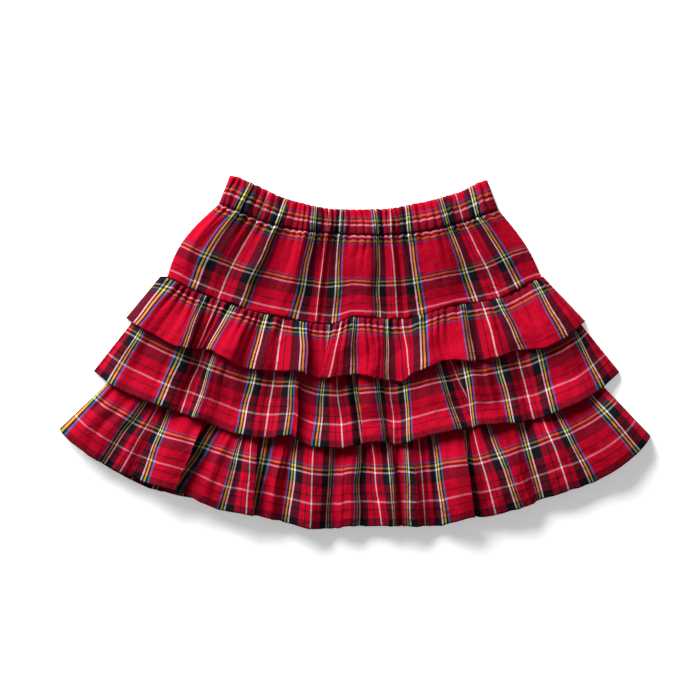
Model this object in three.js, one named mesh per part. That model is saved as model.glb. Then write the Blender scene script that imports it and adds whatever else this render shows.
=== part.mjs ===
// A child's tiered ruffle skirt, laid flat: an elastic waistband, a yoke and three gathered ruffles,
// each as a front and a back, with the plain base panels that carry the two lower ruffles.
// Millimetres. The skirt lies on the plane z = 0 with its back down, waist towards +Y, front up.
import * as THREE from 'three';

// ---- driving dimensions ------------------------------------------------------------------------
const WALL = 1.2; // cloth
const BAND_WALL = 2.4; // casing: two layers of cloth round a flat elastic
const GAP = 0.3; // between neighbouring pieces
const LAYER = WALL + GAP; // rise from one cloth layer to the next
const STEEPEST = 1.7; // most that a steep wall is thickened upwards
const SIDE_ROLL = 34; // width over which a front panel rolls down to its side seam
const YOKE_BOW = { left: 9, right: 4.5 }; // how far the yoke's sides bow out between its seams
const NO_BOW = { left: 0, right: 0 };
const BOW_REACH = 0.25; // share of the width that the bow draws along

// ---- cut lines, left to right, seen from the front ------------------------------------------------
const WAIST_EDGE = [[-112.5, 158.4], [-90, 150.3], [-58.5, 136.8], [-13.5, 128], [22.5, 128.2],
  [58.5, 134], [94.5, 144], [117.5, 154.8]];
const WAIST_SEAM = [[-122.4, 132.9], [-99, 123.3], [-72, 113.4], [-27, 106.4], [22.5, 104.5],
  [58.5, 107.1], [94.5, 115.6], [129, 127.4]];
const YOKE_SEAM = [[-169, 66.8], [-148.5, 56.7], [-121.5, 46.6], [-76.5, 33.4], [-22, 25.2],
  [0, 30.6], [40.5, 29.7], [85.5, 41.2], [130.5, 48.8], [168, 66]];
const RUFFLE_1_HEM = [[-206.1, 30.6], [-189, 20.5], [-153, 4], [-128.7, 0.5], [-96.3, -14.5], [-50, -17.1],
  [-33, -23], [1, -20], [36, -25.4], [63, -14.6], [83, -7], [126, -4.8], [162, 1.6], [184.5, 10.6],
  [207, 27.9]];
const RUFFLE_2_SEAM = [[-190, 40], [-120, 10], [0, -9.6], [120, 10], [192, 39]];
const RUFFLE_2_HEM = [[-234.9, -17.1], [-217, -29.8], [-178, -46.8], [-142, -59], [-107, -72.6],
  [-62, -75], [-39, -84.2], [-12, -85.4], [23.4, -79.4], [52, -79], [90, -69.5], [137, -63.8],
  [181, -53], [218.5, -34.4], [237.6, -18]];
const RUFFLE_3_SEAM = [[-212, -18], [-120, -54], [0, -67.6], [120, -54], [213, -20]];
const RUFFLE_3_HEM = [[-265.5, -69], [-229.5, -97.4], [-184.5, -117], [-158, -124], [-122.4, -140.4],
  [-65.7, -151.4], [-25, -158.2], [0, -156], [45, -155.8], [85.5, -152], [107, -147.4],
  [159.3, -135.4], [216, -115], [250, -92.6], [265.5, -75]];

// the hidden back: plainer lines, a little inside the front except at the lower left
const BACK_HEM_1 = [[-203, 32], [-120, -4], [0, -18.4], [120, -4], [204, 29.5]];
const BACK_HEM_2 = [[-232, -15.5], [-130, -61], [0, -79], [130, -61], [235, -16.5]];
const BACK_HEM_3 = [[-264, -70.5], [-225, -101], [-185, -121.6], [-150, -130.6], [-60, -146], [0, -150],
  [60, -146], [160, -130], [222, -106], [263, -76]];

// ---- the largest folds: where the crest meets the hem and the seam, its reach each side, its height
const fold = (hem, seam, left, right, height) => ({ hem, seam, left, right, height });
const YOKE_FOLDS = [fold(-136, -100, 16, 12, 2.2), fold(-104, -83, 14, 12, 1.8), fold(-62, -52, 18, 10, 2.4),
  fold(-6, -10, 10, 16, 2.4), fold(24, 22, 9, 9, 1.6), fold(48, 44, 12, 12, 2), fold(84, 68, 16, 14, 2.2),
  fold(128, 100, 16, 16, 2.4)];
const RUFFLE_1_FOLDS = [fold(-176, -150, 22, 18, 4), fold(-148, -136, 7, 6, 5), fold(-130, -108, 5, 12, 5.5),
  fold(-110, -96, 12, 12, 4), fold(-72, -66, 18, 16, 4), fold(-46, -44, 12, 5, 6), fold(-28, -20, 6, 16, 6),
  fold(-3, -2, 12, 10, 5), fold(16, 16, 9, 8, 5), fold(44, 42, 9, 7, 5), fold(60, 56, 7, 8, 4.5),
  fold(84, 76, 17, 16, 5), fold(112, 100, 9, 9, 4), fold(136, 116, 12, 11, 4.5), fold(170, 150, 16, 15, 4.5)];
const RUFFLE_2_FOLDS = [fold(-198, -166, 20, 18, 4), fold(-171, -150, 8, 8, 5), fold(-153, -134, 6, 6, 5),
  fold(-124, -104, 18, 18, 4), fold(-62, -50, 20, 6, 6.5), fold(-6, -4, 20, 9, 5), fold(15, 8, 8, 9, 6.5),
  fold(58, 48, 9, 30, 6), fold(112, 98, 6, 24, 6.5), fold(144, 126, 8, 8, 4), fold(170, 148, 12, 11, 5),
  fold(202, 176, 20, 18, 4.5)];
const RUFFLE_3_FOLDS = [fold(-245, -202, 16, 16, 3), fold(-207, -175, 24, 14, 4.5), fold(-165, -136, 16, 6, 8),
  fold(-139, -112, 14, 16, 4), fold(-95, -86, 18, 6, 7), fold(-74, -66, 8, 10, 4), fold(-49, -44, 15, 14, 6),
  fold(-13, -12, 12, 11, 4.5), fold(27, 20, 11, 9, 6), fold(50, 45, 8, 9, 6), fold(97, 84, 24, 6, 8),
  fold(135, 114, 12, 11, 5), fold(155, 136, 10, 10, 6), fold(190, 162, 18, 17, 4.5), fold(234, 198, 20, 18, 5)];

// ---- finishes ----------------------------------------------------------------------------------
const cloth = (color) => new THREE.MeshStandardMaterial({ color, roughness: 0.85, metalness: 0 });
const CHECK_RED = cloth(0xb01529);
const CHECK_DARK = cloth(0x8a1626);

// ---- helpers -----------------------------------------------------------------------------------
const { lerp, smoothstep, clamp } = THREE.MathUtils;

/** A smooth line through hand-set points, in the plane, shifted towards the waist by `up`. */
function cutLine(points, up = 0) {
  return new THREE.SplineCurve(points.map(([x, y]) => new THREE.Vector2(x, y + up)));
}

/** Height of the folds at x, a share v of the way from seam to hem. */
function foldHeight(folds, x, v) {
  let height = 0;
  for (const { hem, seam, left, right, height: crest } of folds) {
    const away = x - lerp(seam, hem, v);
    const reach = (away < 0 ? left : right) * lerp(0.85, 1, v);
    if (Math.abs(away) < reach) {
      height += crest * (0.5 + 0.5 * Math.cos((Math.PI * away) / reach));
    }
  }
  return height;
}

/** 0 at a side seam, 1 past the roll, for a place the given distance from the nearest side. */
function sideRise(distance) {
  const near = 1 - clamp(distance / SIDE_ROLL, 0, 1);
  return 1 - near * near;
}

/** Sideways shift at share s of the width and v of the drop, for sides that bow out. */
function sideBow(bow, s, v) {
  const near = Math.max(0, 1 - Math.min(s, 1 - s) / BOW_REACH);
  return (s < 0.5 ? -bow.left : bow.right) * Math.sin(Math.PI * v) * near * near;
}

/**
 * One piece of cloth: a closed wall over a grid from its seam line (v = 0) to its hem line (v = 1).
 * level(x, v, inset) is the height of its underside, where inset is the distance from the nearest side.
 */
function panel(name, { seam, hem, columns, rows, level, wall = WALL, bow = NO_BOW, finish }) {
  const at = (i, j) => j * (columns + 1) + i;
  const layerSize = (columns + 1) * (rows + 1);
  const plan = [];
  for (let j = 0; j <= rows; j += 1) {
    for (let i = 0; i <= columns; i += 1) {
      const s = i / columns;
      const point = seam.getPointAt(s).lerp(hem.getPointAt(s), j / rows);
      point.x += sideBow(bow, s, j / rows);
      plan.push({ point, v: j / rows, s });
    }
  }
  const under = plan.map(({ point, v, s }) => {
    const width = lerp(seam.getLength(), hem.getLength(), v);
    return level(point.x, v, Math.min(s, 1 - s) * width);
  });
  const slope = (a, b) => (under[b] - under[a]) / plan[a].point.distanceTo(plan[b].point);
  const positions = [];
  const upper = [];
  for (let j = 0; j <= rows; j += 1) {
    for (let i = 0; i <= columns; i += 1) {
      const k = at(i, j);
      const across = slope(at(Math.max(i - 1, 0), j), at(Math.min(i + 1, columns), j));
      const down = slope(at(i, Math.max(j - 1, 0)), at(i, Math.min(j + 1, rows)));
      const thicken = Math.min(Math.sqrt(1 + across * across + down * down), STEEPEST);
      positions.push(plan[k].point.x, plan[k].point.y, under[k]);
      upper.push(plan[k].point.x, plan[k].point.y, under[k] + wall * thicken);
    }
  }
  positions.push(...upper);

  const index = [];
  const quad = (a, b, c, d) => index.push(a, b, c, a, c, d);
  for (let j = 0; j < rows; j += 1) {
    for (let i = 0; i < columns; i += 1) {
      const [a, b, c, d] = [at(i, j), at(i, j + 1), at(i + 1, j + 1), at(i + 1, j)];
      quad(a + layerSize, b + layerSize, c + layerSize, d + layerSize);
      index.push(a, c, b, a, d, c);
    }
  }
  const rim = [];
  for (let j = 0; j < rows; j += 1) rim.push(at(0, j));
  for (let i = 0; i < columns; i += 1) rim.push(at(i, rows));
  for (let j = rows; j > 0; j -= 1) rim.push(at(columns, j));
  for (let i = columns; i > 0; i -= 1) rim.push(at(i, 0));
  rim.forEach((a, n) => {
    const b = rim[(n + 1) % rim.length];
    quad(a, b, b + layerSize, a + layerSize);
  });

  const geometry = new THREE.BufferGeometry();
  geometry.setAttribute('position', new THREE.Float32BufferAttribute(positions, 3));
  geometry.setIndex(index);
  geometry.computeVertexNormals();
  const mesh = new THREE.Mesh(geometry, finish);
  mesh.name = name;
  return mesh;
}

/** A front piece: rests at `rest(v)`, rolls down to `side(v)` at its seams, and stands up in its folds. */
function frontLevel({ rest, side, folds = [], grow }) {
  return (x, v, inset) => {
    const rise = sideRise(inset);
    return lerp(side(v), rest(v) + foldHeight(folds, x, v) * grow(v), rise);
  };
}

/** A back piece: it steps down from `high` to the ground plane where the piece below it ends. */
function backLevel(high, stepFrom, stepTo) {
  return (x, v) => high * (1 - smoothstep(v, stepFrom, stepTo));
}

// ---- heights of the undersides -------------------------------------------------------------------
const BASE_BACK_LEVEL = 2 * LAYER;
const BASE_FRONT_LEVEL = 3 * LAYER;
const RUFFLE_FRONT_LEVEL = 4 * LAYER;
const BAND_FRONT_LEVEL = BAND_WALL + GAP;

// ---- the pieces ------------------------------------------------------------------------------------
const skirt = new THREE.Group();
skirt.name = 'tiered_ruffle_skirt';

skirt.add(
  panel('waistband_back', {
    seam: cutLine(WAIST_EDGE), hem: cutLine(WAIST_SEAM, GAP), columns: 36, rows: 2,
    level: () => 0, wall: BAND_WALL, finish: CHECK_DARK,
  }),
  panel('waistband_front', {
    seam: cutLine(WAIST_EDGE), hem: cutLine(WAIST_SEAM, GAP), columns: 36, rows: 2,
    level: () => BAND_FRONT_LEVEL, wall: BAND_WALL, finish: CHECK_RED,
  }),
  panel('yoke_back', {
    seam: cutLine(WAIST_SEAM), hem: cutLine(YOKE_SEAM, GAP), columns: 36, rows: 3,
    level: () => 0, bow: YOKE_BOW, finish: CHECK_DARK,
  }),
  panel('yoke_front', {
    seam: cutLine(WAIST_SEAM), hem: cutLine(YOKE_SEAM, GAP), columns: 36, rows: 6,
    level: frontLevel({
      rest: (v) => lerp(BAND_FRONT_LEVEL, RUFFLE_FRONT_LEVEL - WALL, v) + 1.4 * Math.sin(Math.PI * v),
      side: () => LAYER,
      folds: YOKE_FOLDS,
      grow: (v) => Math.sin(Math.PI * v),
    }),
    bow: YOKE_BOW,
    finish: CHECK_RED,
  }),
  panel('base_back', {
    seam: cutLine(YOKE_SEAM, -GAP), hem: cutLine(RUFFLE_3_SEAM, GAP), columns: 36, rows: 3,
    level: (x, v) => lerp(LAYER, BASE_BACK_LEVEL, smoothstep(v, 0, 0.3)), finish: CHECK_DARK,
  }),
  panel('base_front', {
    seam: cutLine(YOKE_SEAM, -GAP), hem: cutLine(RUFFLE_3_SEAM, GAP), columns: 36, rows: 2,
    level: () => BASE_FRONT_LEVEL, finish: CHECK_DARK,
  }),
  panel('ruffle_1_back', {
    seam: cutLine(YOKE_SEAM, -GAP), hem: cutLine(BACK_HEM_1), columns: 36, rows: 2,
    level: () => 0, finish: CHECK_DARK,
  }),
  panel('ruffle_2_back', {
    seam: cutLine(RUFFLE_2_SEAM), hem: cutLine(BACK_HEM_2), columns: 24, rows: 6,
    level: backLevel(LAYER, 0.35, 0.52), finish: CHECK_DARK,
  }),
  panel('ruffle_3_back', {
    seam: cutLine(RUFFLE_3_SEAM), hem: cutLine(BACK_HEM_3), columns: 24, rows: 6,
    level: backLevel(LAYER, 0.28, 0.45), finish: CHECK_DARK,
  }),
  panel('ruffle_1_front', {
    seam: cutLine(YOKE_SEAM, -2 * GAP), hem: cutLine(RUFFLE_1_HEM), columns: 72, rows: 3,
    level: frontLevel({
      rest: (v) => lerp(RUFFLE_FRONT_LEVEL, 8.8, smoothstep(v, 0.1, 0.7)),
      side: (v) => lerp(RUFFLE_FRONT_LEVEL, 8.6, v),
      folds: RUFFLE_1_FOLDS,
      grow: (v) => smoothstep(v, -0.1, 0.9),
    }),
    finish: CHECK_RED,
  }),
  panel('ruffle_2_front', {
    seam: cutLine(RUFFLE_2_SEAM), hem: cutLine(RUFFLE_2_HEM), columns: 80, rows: 4,
    level: frontLevel({
      rest: (v) => lerp(RUFFLE_FRONT_LEVEL, 8.2, smoothstep(v, 0.2, 0.75)),
      side: (v) => lerp(RUFFLE_FRONT_LEVEL, 4.9, smoothstep(v, 0.3, 0.9)),
      folds: RUFFLE_2_FOLDS,
      grow: (v) => smoothstep(v, 0.05, 0.95),
    }),
    finish: CHECK_RED,
  }),
  panel('ruffle_3_front', {
    seam: cutLine(RUFFLE_3_SEAM), hem: cutLine(RUFFLE_3_HEM), columns: 88, rows: 4,
    level: frontLevel({
      rest: (v) => lerp(BASE_FRONT_LEVEL, 2, smoothstep(v, 0.2, 1)),
      side: (v) => lerp(2 * LAYER, LAYER, smoothstep(v, 0.28, 0.6)),
      folds: RUFFLE_3_FOLDS,
      grow: (v) => smoothstep(v, 0.05, 0.9),
    }),
    finish: CHECK_RED,
  }),
);

export default skirt;
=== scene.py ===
"""A child's tiered ruffle skirt in check cotton, laid flat with its front up.

Every piece of cloth is a grid over the flat cut: one axis runs across the cloth, the other from its
seam to its hem. Marks say where a place across the cut ends up along the seam and along the hem, so
that the woven check follows every gather and fold. Sizes are in millimetres until a mesh is made.
"""

import logging
import math
from collections.abc import Callable
from dataclasses import dataclass
from enum import Enum

import bpy
import numpy as np
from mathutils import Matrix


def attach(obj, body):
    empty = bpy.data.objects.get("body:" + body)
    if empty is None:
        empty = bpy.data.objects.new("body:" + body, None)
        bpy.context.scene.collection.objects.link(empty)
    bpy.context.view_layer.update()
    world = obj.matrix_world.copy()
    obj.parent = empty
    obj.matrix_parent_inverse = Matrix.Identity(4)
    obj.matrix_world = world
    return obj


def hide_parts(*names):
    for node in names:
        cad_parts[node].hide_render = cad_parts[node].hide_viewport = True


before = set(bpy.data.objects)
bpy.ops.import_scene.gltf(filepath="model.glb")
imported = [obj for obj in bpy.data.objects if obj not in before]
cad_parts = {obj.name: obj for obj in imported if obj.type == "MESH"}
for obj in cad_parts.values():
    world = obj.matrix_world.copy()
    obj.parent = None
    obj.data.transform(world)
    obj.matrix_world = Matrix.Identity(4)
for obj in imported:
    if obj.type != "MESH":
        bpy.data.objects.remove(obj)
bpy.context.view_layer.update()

LOG = logging.getLogger("skirt")
MM = 0.001
CLOTH = 0.5  # thickness of one layer of the cotton
TURNED = 0.9  # thickness of a turned hem
TURN_STEPS = 4  # steps between the two thicknesses
CLEAR = 0.2  # air between one sheet and what it lies on
TOUCH = 0.05  # least rise of a sheet over the true top of the pile
FLOOR_AIR = 0.6  # least height of a sheet's underside
EASY_TOP = 23.0  # height above which folds are pressed down
PRESSED = 3.0  # how much further the highest of them can rise
SIDE_ROLL = 8.0  # width over which a front sheet rolls down to its side seam
SIDE_CLOSE = 0.75  # share of its thickness that it sinks at the very edge
SIDE_CALM = 14.0  # width over which the sides keep the cloth from swaying
SHEET_SLOT = "check_cotton"
CASING_SLOT = "check_cotton_casing"

Array = np.ndarray
Points = tuple[tuple[float, float], ...]
Material, Object = bpy.types.Material, bpy.types.Object
Tree, Socket = bpy.types.NodeTree, bpy.types.NodeSocket


class Face(Enum):
    """Which half of the skirt a sheet belongs to."""

    FRONT = "front"
    BACK = "back"


# ---- numbers ----


def through(knots: Array, values: Array, x: Array) -> Array:
    """Draws a smooth line through knots, with no overshoot between them.

    Args:
        knots: Rising places of the knots.
        values: The value at each knot.
        x: Places to read; outside the knots the line goes on straight.

    Returns:
        The value at each place.
    """
    step = np.diff(knots)
    slope = np.diff(values) / step
    before, after = slope[:-1], slope[1:]
    same_way = before * after > 0
    mean = np.where(same_way, 2 * before * after / np.where(same_way, before + after, 1.0), 0.0)
    tangent = np.concatenate([slope[:1], mean, slope[-1:]])
    i = np.clip(np.searchsorted(knots, x, side="right") - 1, 0, len(step) - 1)
    h = step[i]
    t = np.clip((x - knots[i]) / h, 0.0, 1.0)
    beyond = x - np.clip(x, knots[0], knots[-1])
    smooth = (
        values[i] * (1 + 2 * t) * (1 - t) ** 2
        + tangent[i] * h * t * (1 - t) ** 2
        + values[i + 1] * t * t * (3 - 2 * t)
        + tangent[i + 1] * h * t * t * (t - 1)
    )
    return smooth + beyond * np.where(beyond < 0, tangent[0], tangent[-1])


def ease(x: Array | float, low: float, high: float) -> Array:
    """Smooth step from 0 at low to 1 at high."""
    t = np.clip((np.asarray(x, float) - low) / (high - low), 0.0, 1.0)
    return t * t * (3 - 2 * t)


def wander(x: Array, reach: float, seed: int) -> Array:
    """A smooth random line between -1 and 1 whose turns are about reach apart."""
    draws = np.random.default_rng(seed).uniform(-1.0, 1.0, 4096)
    place = np.asarray(x, float) / reach + 1000.0
    i = np.floor(place).astype(int)
    t = place - i
    t = t * t * (3 - 2 * t)
    return draws[i % 4096] * (1 - t) + draws[(i + 1) % 4096] * t


def ripple(x: Array, y: Array, reach_x: float, reach_y: float, seed: int) -> Array:
    """A smooth random surface between -1 and 1, with its own reach each way."""
    draws = np.random.default_rng(seed).uniform(-1.0, 1.0, (256, 256))
    px, py = x / reach_x + 500.0, y / reach_y + 500.0
    i, j = np.floor(px).astype(int), np.floor(py).astype(int)
    s, t = px - i, py - j
    s, t = s * s * (3 - 2 * s), t * t * (3 - 2 * t)
    low = draws[i % 256, j % 256] * (1 - s) + draws[(i + 1) % 256, j % 256] * s
    high = draws[i % 256, (j + 1) % 256] * (1 - s) + draws[(i + 1) % 256, (j + 1) % 256] * s
    return low * (1 - t) + high * t


GATHER_STRAY = 0.6  # how far a gather can be off its even place, in gathers
GATHER_SIZE = (0.66, 0.34)  # mean height of the gathers, and how far it varies
CREST_POWER = 0.38  # below 0.5 the crests are round and the creases sharp
CREASE_ROUND = 0.008
CREASE_DEPTH = 0.1


def gathers(cloth: Array, pitch: float, seed: int) -> Array:
    """Rows of gathers: round crests with sharp creases between them, from 0 to about 1.

    Args:
        cloth: Places across the cut.
        pitch: Mean width of cloth in one gather.
        seed: Fixes the draw of their spacing and height.

    Returns:
        The height at each place.
    """
    phase = cloth / pitch + GATHER_STRAY * wander(cloth, 2.3 * pitch, seed)
    crest = (np.cos(math.pi * phase) ** 2 + CREASE_ROUND) ** CREST_POWER - CREASE_DEPTH
    mean, spread = GATHER_SIZE
    return crest * (mean + spread * wander(cloth, 1.1 * pitch, seed + 1))


@dataclass(frozen=True)
class Line:
    """A cut line as it lies, through given points from left to right."""

    points: Points

    def y(self, x: Array) -> Array:
        """Where the line is, up the skirt, at each x."""
        return through(*np.array(self.points, float).T, x)


@dataclass(frozen=True)
class Mark:
    """A place across the cut, where it lies along the seam and hem, and how high it stands there."""

    cloth: float
    hem: float
    seam: float
    lift: float = 0.0


def marks(*rows: tuple[float, ...]) -> tuple[Mark, ...]:
    """One mark for each row of cloth, hem, seam and, where it isn't 0, lift."""
    return tuple(Mark(*row) for row in rows)


# ---- how the skirt lies ----

WAIST_EDGE = Line(((-112.5, 158.4), (-106, 157.4), (-90, 150.3), (-58.5, 136.8), (-13.5, 128.2),
                   (22.5, 128.4), (58.5, 134.2), (94.5, 144), (112, 152.6), (118.5, 154.8)))
WAIST_SEAM = Line(((-122.4, 132.9), (-99, 123.3), (-72, 113.4), (-27, 106.4), (22.5, 104.5),
                   (58.5, 107.1), (94.5, 115.6), (129, 127.4)))
YOKE_SEAM = Line(((-176, 66.8), (-169, 66.4), (-148.5, 56.7), (-121.5, 46.6), (-76.5, 33.4),
                  (-22, 25.2), (-14, 26.5), (-3, 31.6), (40.5, 29.7), (85.5, 41.2), (130.5, 48.8),
                  (168, 66), (175, 66.5)))
RUFFLE_1_HEM = Line(((-206.1, 30.6), (-189, 20.5), (-153, 4), (-128.7, 1.8), (-122, -2), (-96.3, -15),
                     (-70, -16.8), (-48, -17.1), (-40, -21), (-30, -23.4), (1, -20), (22, -23.6),
                     (42, -26.4), (50, -20), (63, -14.6), (83, -7), (105, -8), (126, -4.8),
                     (150, 1.6), (164, 2.6), (184.5, 10.6), (207, 27.9)))
RUFFLE_2_SEAM = Line(((-190, 40), (-120, 10), (0, -9.6), (120, 10), (192, 39)))
RUFFLE_2_HEM = Line(((-234.9, -17.1), (-217, -29.8), (-178, -46.8), (-142, -59), (-107, -72.6),
                     (-81, -76.6), (-57, -74.4), (-48, -80.4), (-39, -84.2), (-12, -85.4), (6, -82),
                     (23.4, -79.6), (40, -83), (52, -79), (90, -69.5), (103, -67.8), (110, -65.2),
                     (137, -63.8), (160, -60.6), (181, -53), (218.5, -34.4), (237.6, -18)))
RUFFLE_3_SEAM = Line(((-212, -18), (-120, -54), (0, -67.6), (120, -54), (213, -20)))
RUFFLE_3_HEM = Line(((-265.5, -69), (-261, -74), (-252, -82), (-229.5, -97.4), (-210, -107.4),
                     (-184.5, -117.2), (-162, -122.6), (-155, -126), (-122.4, -140.4), (-104, -144),
                     (-90, -146.4), (-65.7, -151.6), (-33.3, -158.3), (-20, -158.2), (-6, -155.8),
                     (45, -155.8), (76, -155.6), (88, -152), (107, -147.4), (112, -148.4),
                     (135, -143), (158, -136.2), (162, -134), (184.5, -126.2), (216, -115.2),
                     (250, -92.8), (262, -79.6), (265.5, -75)))
BACK_HEM_1 = Line(((-206, 30.8), (-120, -4), (0, -18.4), (120, -4), (207, 28.2)))
BACK_HEM_2 = Line(((-234.9, -16.9), (-130, -61), (0, -79), (130, -61), (237.6, -17.8)))
BACK_HEM_3 = Line(((-265.5, -68.9), (-245, -88), (-225, -101.8), (-205, -113), (-185, -122),
                   (-165, -127.6), (-145, -131.4), (-60, -146), (0, -150), (60, -146), (160, -130),
                   (222, -106), (265.5, -75)))

BAND_MARKS = marks(
    (-48.6, -122.4, -112.5), (-26.7, -109, -96.3), (0, -87.3, -77.4), (26.7, -66.6, -58.5),
    (68.3, -39.6, -38.2), (95, -25.2, -23.4), (121.7, -9.9, -9), (163.3, 17, 14.4), (190, 32.4, 31.5),
    (216.7, 52.6, 49.5), (258.3, 81, 73.8), (285, 97.2, 90), (311.7, 113.4, 106.7), (329, 129, 118.5))
YOKE_MARKS = marks(
    (-48.6, -169, -122.4), (-26.7, -150, -109), (0, -123.3, -87.3), (26.7, -97.6, -66.6),
    (68.3, -59.4, -39.6), (91, -37.2, -27.2), (95, -35.4, -26), (99, -33.4, -24.6),
    (121.7, -14.8, -9.9), (163.3, 17.5, 17), (190, 38.2, 32.4), (216.7, 63.9, 52.6),
    (258.3, 103.5, 81), (285, 129.6, 97.2), (311.7, 152, 113.4), (329, 168, 129))
YOKE_FOLDS: Points = (
    (-48.6, 0), (-38, 2.5), (-24, 3), (0, 1.5), (11, 2.5), (20, 4), (31, 0.5), (48, 2), (62, 4), (76, 2),
    (88, 0.2), (97, 2.5), (106, 0.5), (121, 0.8), (140, 2.5), (158, 4), (170, 1), (179, 0.8), (188, 2.5),
    (197, 0.5), (210, 0.8), (225, 2.5), (241, 4.2), (257, 1.5), (272, 0.2), (285, 1.2), (298, 3),
    (311, 3.2), (321, 2), (329, 0))
RUFFLE_1_MARKS = marks(
    (10.8, -206, -176, 0), (18, -200, -170, 2.5), (26.7, -193, -161, 3.5), (47, -174, -149, 3.5),
    (68.3, -155.7, -136.8, 5), (78, -149, -132, 5), (88, -144, -126, 3), (100, -139, -119, 0.8),
    (110, -135.5, -113.5, 0.5), (121.7, -127.8, -106, 3), (142, -112, -93, 5.2),
    (163.3, -97.2, -82.8, 1.2), (177, -83.5, -73, 4), (190, -71, -64, 2.5), (203, -57, -54, 5),
    (214, -46, -46, 6), (218.5, -43, -42.5, 5.8), (223, -46, -41.5, 3.5), (227, -48.5, -40, 1.5),
    (231, -46, -38.5, 0.6), (236, -41, -36, 0.3), (246, -32.4, -29, 0.4), (254, -26, -26, 1.2),
    (259, -24, -25, 2), (266, -27, -22.5, 4), (275.5, -31.5, -17.5, 6.5), (285, -23.4, -12.6, 7),
    (298, -11, -5, 5.5), (311.7, 1.8, 2.7, 2.2), (332, 14, 14, 3.5), (353.3, 26, 26, 2),
    (364, 32.5, 31, 0.4), (380, 48.6, 42.3, 2), (392, 52.5, 51, 3), (406.7, 65.7, 64, 4.6),
    (427, 84, 79, 2.6), (448.3, 100.8, 94.5, 5), (461, 113, 103, 0.6), (475, 127, 113.4, 4.4),
    (488, 141, 122, 2.4), (501.7, 154, 131.4, 0.8), (522, 169, 145, 4), (543.3, 184.5, 158.4, 2.6),
    (557, 196, 165.5, 2.5), (570, 207, 170.5, 2))
RUFFLE_2_MARKS = marks(
    (3.6, -235, -190, 0), (15, -226, -185, 2.5), (26.7, -215.5, -180, 3.5), (46, -198, -167, 3),
    (68.3, -179.5, -152, 4.6), (80, -169, -142, 5), (95, -155.7, -131.5, 1), (107, -149, -126, 2),
    (121.7, -142, -119.7, 5), (142, -125, -104, 2.2), (163.3, -107, -90, 2), (177, -94, -80, 3),
    (190, -81, -69.8, 2.6), (203, -69.5, -60, 5), (216.7, -58, -50.8, 6.5), (222, -53, -48.6, 6.5),
    (227, -56.5, -48.2, 4.5), (233, -62, -47.8, 2.6), (239, -58, -47.2, 1), (244, -52.5, -46, 0.6),
    (251, -46, -38, 0.6), (258.3, -38.7, -28.8, 1.4), (272, -25, -23, 3), (285, -10.8, -17.5, 4.2),
    (296, -2, -9, 4.8), (305, 6, -3.5, 2), (314, 14, 0, 1.5), (320.5, 18, 1, 2.2),
    (327, 14, 1.6, 4), (336, 6.5, 2.5, 7), (345, 15, 8, 7.5), (353.3, 25.2, 15.3, 5),
    (364, 29, 22, 1), (380, 35, 30.6, 0.5), (393, 42.5, 38, 1.6), (406.7, 51.3, 46, 3.4),
    (427, 70, 57, 4.6), (448.3, 90, 69, 5.4), (457, 96.5, 74, 2), (463, 101, 77.5, 0.8),
    (470, 107, 80, 0.5), (478, 113, 82, 1.5), (486, 108, 86, 4.5), (493, 104.5, 92, 6.8),
    (501.7, 109, 99, 7.5), (522, 124, 110, 5.2), (543.3, 137, 120.6, 2), (556, 147, 130, 4),
    (570, 160, 141, 0.8), (583, 170.5, 152, 2.4), (596.7, 181.4, 163, 3.6), (617, 199.5, 176, 5),
    (638.3, 218, 186, 2.6), (652, 229, 189.5, 2.5), (663.5, 237.6, 192, 2))
RUFFLE_3_MARKS = marks(
    (21, -265.5, -212, 1.5), (26.7, -260.2, -209.5, 3), (45, -246, -197, 4.5), (68.3, -229, -183, 4),
    (80, -220.5, -176, 3), (95, -210, -170, 4.5), (108, -198, -165.5, 3), (121.7, -185, -160, 5),
    (138, -169, -141, 7.5), (148, -160, -130, 7.2), (154, -164, -129.5, 5.2),
    (178, -187, -127.5, 3), (184, -190, -127, 2), (190, -187, -126, 1.2), (206, -168, -122.5, 0.5),
    (213, -161.5, -118, 0.4), (216.7, -156.5, -112.5, 1.2), (236, -140, -104, 4.5),
    (258.3, -123, -98, 4), (270, -112, -94.5, 4.5), (285, -97, -91, 6.5), (292.4, -90.5, -86, 6.5),
    (296.5, -93, -84, 4.5), (300.7, -98, -81.5, 2.5), (305, -95, -78.5, 1), (309, -90.5, -76, 0.6),
    (311.7, -88.5, -69.5, 1), (330, -76.5, -61, 4.4), (353.3, -65.7, -53.5, 1.6), (366, -54, -45, 3.4),
    (380, -40, -36, 5.4), (392, -31.5, -26, 4.2), (406.7, -21.6, -18.5, 0.8), (425, -12, -9, 4.4),
    (448.3, -1, 1.5, 4.6), (460, 8, 7, 1), (475, 24, 13.5, 2.8), (488, 31, 22, 5),
    (501.7, 37, 31.5, 4), (520, 41, 37, 0.6), (543.3, 45.5, 43, 4.6), (556, 54.5, 49, 5.2),
    (570, 63, 55.5, 2.2), (583, 73, 63, 0.6), (596.7, 84.5, 71.5, 4.2), (612, 99, 84, 7.5),
    (620, 107, 94, 7), (626, 102, 95, 4.5), (634, 94, 96, 2), (641, 98, 97, 0.8),
    (648, 106.5, 98, 0.4), (665, 126, 102.5, 4), (678, 138, 110, 5), (691.7, 150, 119, 5.5),
    (708, 157, 127, 5.5), (733.3, 164, 141, 2.5), (760, 191, 162, 4), (786.7, 216.5, 174.5, 3),
    (806, 233, 184, 5), (828.3, 250, 195, 4), (849.9, 265.5, 213, 3))


# ---- what the sheets lie on ----


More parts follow.
